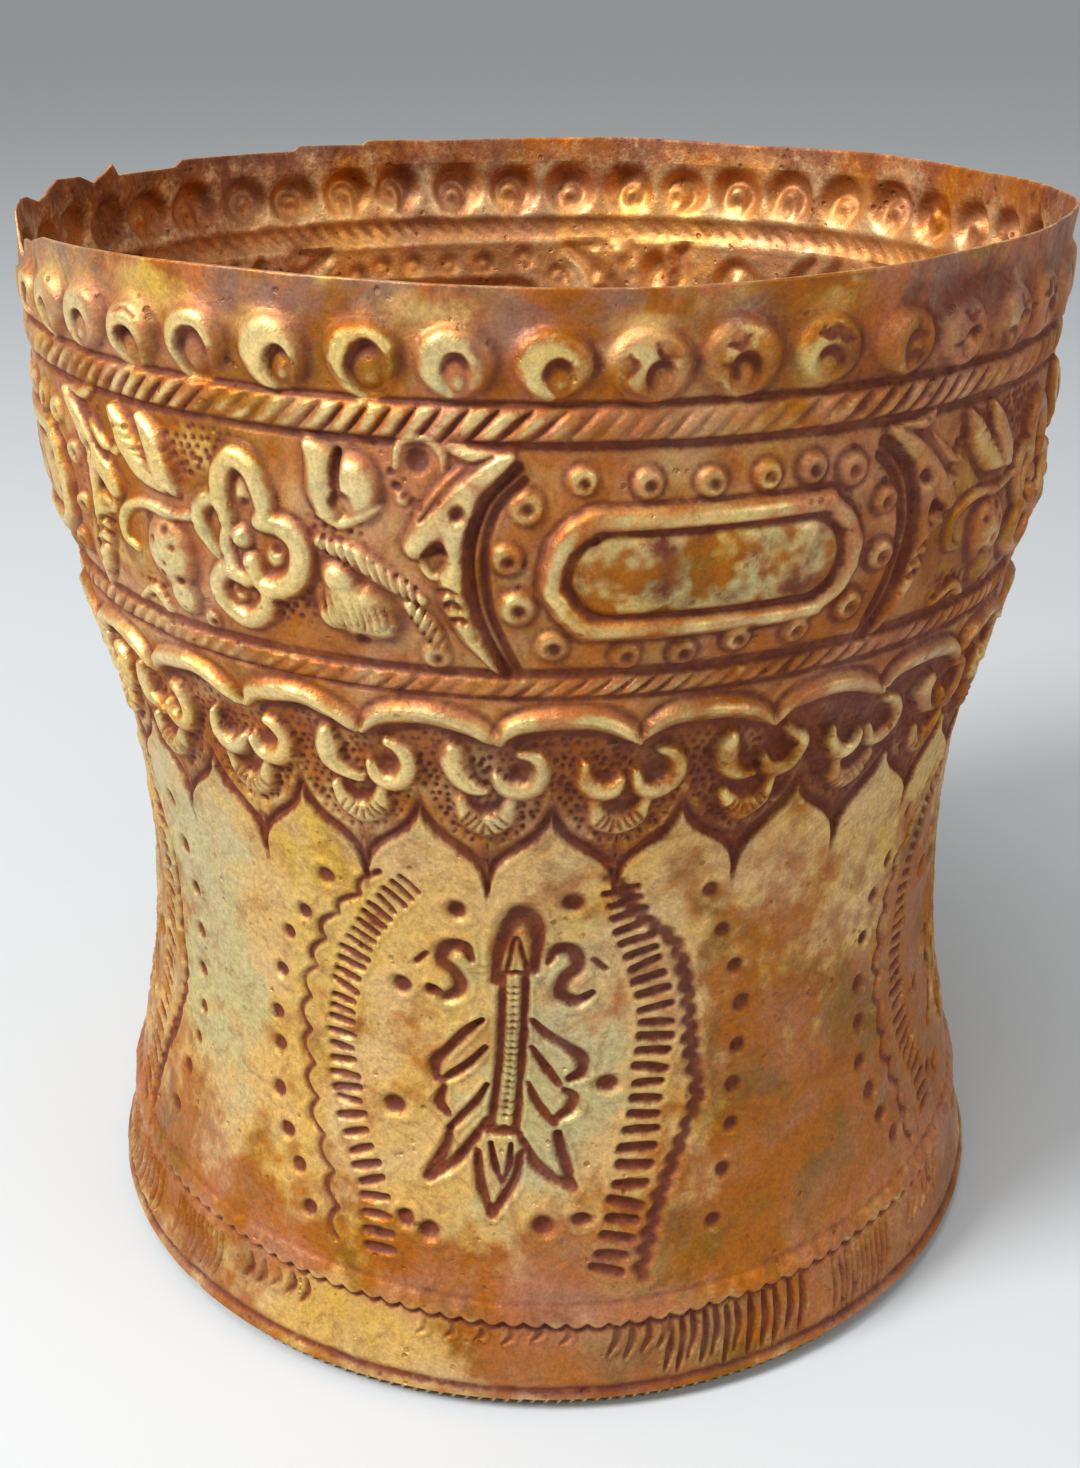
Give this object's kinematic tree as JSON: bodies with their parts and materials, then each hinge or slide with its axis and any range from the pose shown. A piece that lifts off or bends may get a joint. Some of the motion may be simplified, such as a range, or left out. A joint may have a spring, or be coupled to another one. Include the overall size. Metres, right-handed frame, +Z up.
{
  "type": "metal beaker",
  "caption": "Round metal beaker with a domed and chased upper half, a smooth narrow waist and a flared foot standing on a wire ring.",
  "frame": {"origin": "centre of the resting face, in the plane where the wire ring under the foot stands", "axes": "+Z up along the vessel's axis, towards the open mouth; -Y is the front, with the arrow medallion"},
  "size_m": [0.1288, 0.1288, 0.1383],
  "materials": {
    "patinated_sheet": "worn brown and yellow-green patina, slightly glossy",
    "base_sheet": "dull brown patina",
    "solder": "dull grey-brown",
    "wire": "brown patina, rubbed on the high turns"
  },
  "bodies": {
    "root": {"vessel_wall": "patinated_sheet", "base_plate": "base_sheet", "solder_seam": "solder", "foot_wire": "wire"}
  },
  "joints": []
}
